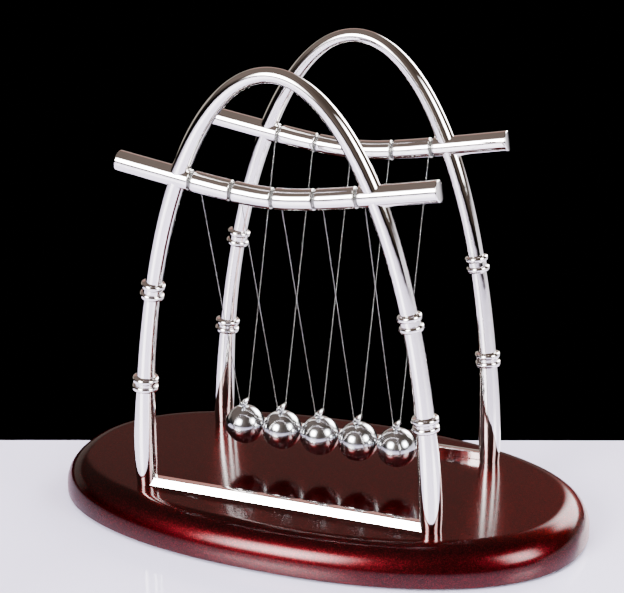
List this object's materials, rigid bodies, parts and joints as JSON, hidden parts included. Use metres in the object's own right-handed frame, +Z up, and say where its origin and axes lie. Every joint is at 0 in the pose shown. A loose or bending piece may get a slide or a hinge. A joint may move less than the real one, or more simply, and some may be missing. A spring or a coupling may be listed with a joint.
{
  "type": "newtons cradle",
  "caption": "Desk toy: a row of steel balls hung on V-shaped lines between arched chrome side frames on a lacquered oval base, swinging to pass momentum along the row.",
  "frame": {"origin": "centre of the footprint, on the surface that the pads stand on", "axes": "+X along the row of balls to the right, +Y from the front frame to the rear frame, +Z up"},
  "size_m": [0.178, 0.1026, 0.1529],
  "materials": {
    "lacquer": "burgundy metallic lacquer under a glossy clear coat",
    "chrome": "bright mirror chrome plate",
    "steel": "polished bearing steel",
    "nylon": "clear nylon line",
    "screw_zinc": "zinc plate",
    "rubber": "matt black"
  },
  "bodies": {
    "frame": {"base": "lacquer", "foot_pad_front_left": "rubber", "foot_pad_front_right": "rubber", "foot_pad_rear_left": "rubber", "foot_pad_rear_right": "rubber", "leg_screw_front_left": "screw_zinc", "leg_screw_front_right": "screw_zinc", "leg_screw_rear_left": "screw_zinc", "leg_screw_rear_right": "screw_zinc", "front_arch": "chrome", "front_crossbar": "chrome", "front_rail": "chrome", "rear_arch": "chrome", "rear_crossbar": "chrome", "rear_rail": "chrome", "collar_front_left_upper": "chrome", "collar_front_left_lower": "chrome", "collar_front_right_upper": "chrome", "collar_front_right_lower": "chrome", "collar_rear_left_upper": "chrome", "collar_rear_left_lower": "chrome", "collar_rear_right_upper": "chrome", "collar_rear_right_lower": "chrome", "line_wrap_front_1": "nylon", "line_wrap_front_2": "nylon", "line_wrap_front_3": "nylon", "line_wrap_front_4": "nylon", "line_wrap_front_5": "nylon", "line_wrap_rear_1": "nylon", "line_wrap_rear_2": "nylon", "line_wrap_rear_3": "nylon", "line_wrap_rear_4": "nylon", "line_wrap_rear_5": "nylon"},
    "ball_3": {"ball_3": "steel", "eyelet_3": "steel", "line_3": "nylon", "knot_front_3": "nylon", "knot_rear_3": "nylon"},
    "ball_2": {"ball_2": "steel", "eyelet_2": "steel", "line_2": "nylon", "knot_front_2": "nylon", "knot_rear_2": "nylon"},
    "ball_1_hanger": {"knot_front_1": "nylon", "knot_rear_1": "nylon"},
    "ball_1": {"ball_1": "steel", "eyelet_1": "steel", "line_1": "nylon"},
    "ball_4": {"ball_4": "steel", "eyelet_4": "steel", "line_4": "nylon", "knot_front_4": "nylon", "knot_rear_4": "nylon"},
    "ball_5_hanger": {"knot_front_5": "nylon", "knot_rear_5": "nylon"},
    "ball_5": {"ball_5": "steel", "eyelet_5": "steel", "line_5": "nylon"}
  },
  "joints": [
    {"name": "ball_2_swing", "type": "hinge", "parent": "frame", "child": "ball_2", "pos_m": [-0.01337, 0, 0.11448], "axis": [0, -1, 0], "range_deg": [-25, 0]},
    {"name": "ball_1_carried_by_2", "type": "slide", "parent": "ball_2", "child": "ball_1_hanger", "axis": [-0.0349, 0, 0.9994], "range_m": [-0.0059, 0]},
    {"name": "ball_1_swing", "type": "hinge", "parent": "ball_1_hanger", "child": "ball_1", "pos_m": [-0.02674, 0, 0.11645], "axis": [0, -1, 0], "range_deg": [-45, 0]},
    {"name": "ball_4_swing", "type": "hinge", "parent": "frame", "child": "ball_4", "pos_m": [0.01337, 0, 0.11448], "axis": [0, -1, 0], "range_deg": [0, 25]},
    {"name": "ball_5_carried_by_4", "type": "slide", "parent": "ball_4", "child": "ball_5_hanger", "axis": [0.0349, 0, 0.9994], "range_m": [-0.0059, 0]},
    {"name": "ball_5_swing", "type": "hinge", "parent": "ball_5_hanger", "child": "ball_5", "pos_m": [0.02674, 0, 0.11645], "axis": [0, -1, 0], "range_deg": [0, 45]},
    {"name": "ball_3_pushed_by_4", "type": "hinge", "parent": "frame", "child": "ball_3", "pos_m": [0, 0, 0.1135], "axis": [0, -1, 0], "range_deg": [0, 25.3]}
  ],
  "couplings": [
    {"joint": "ball_1_carried_by_2", "follows": "ball_2_swing", "m_per_rad": 0.01344},
    {"joint": "ball_5_carried_by_4", "follows": "ball_4_swing", "m_per_rad": -0.01344},
    {"joint": "ball_3_pushed_by_4", "follows": "ball_4_swing", "ratio": 1.0111}
  ]
}
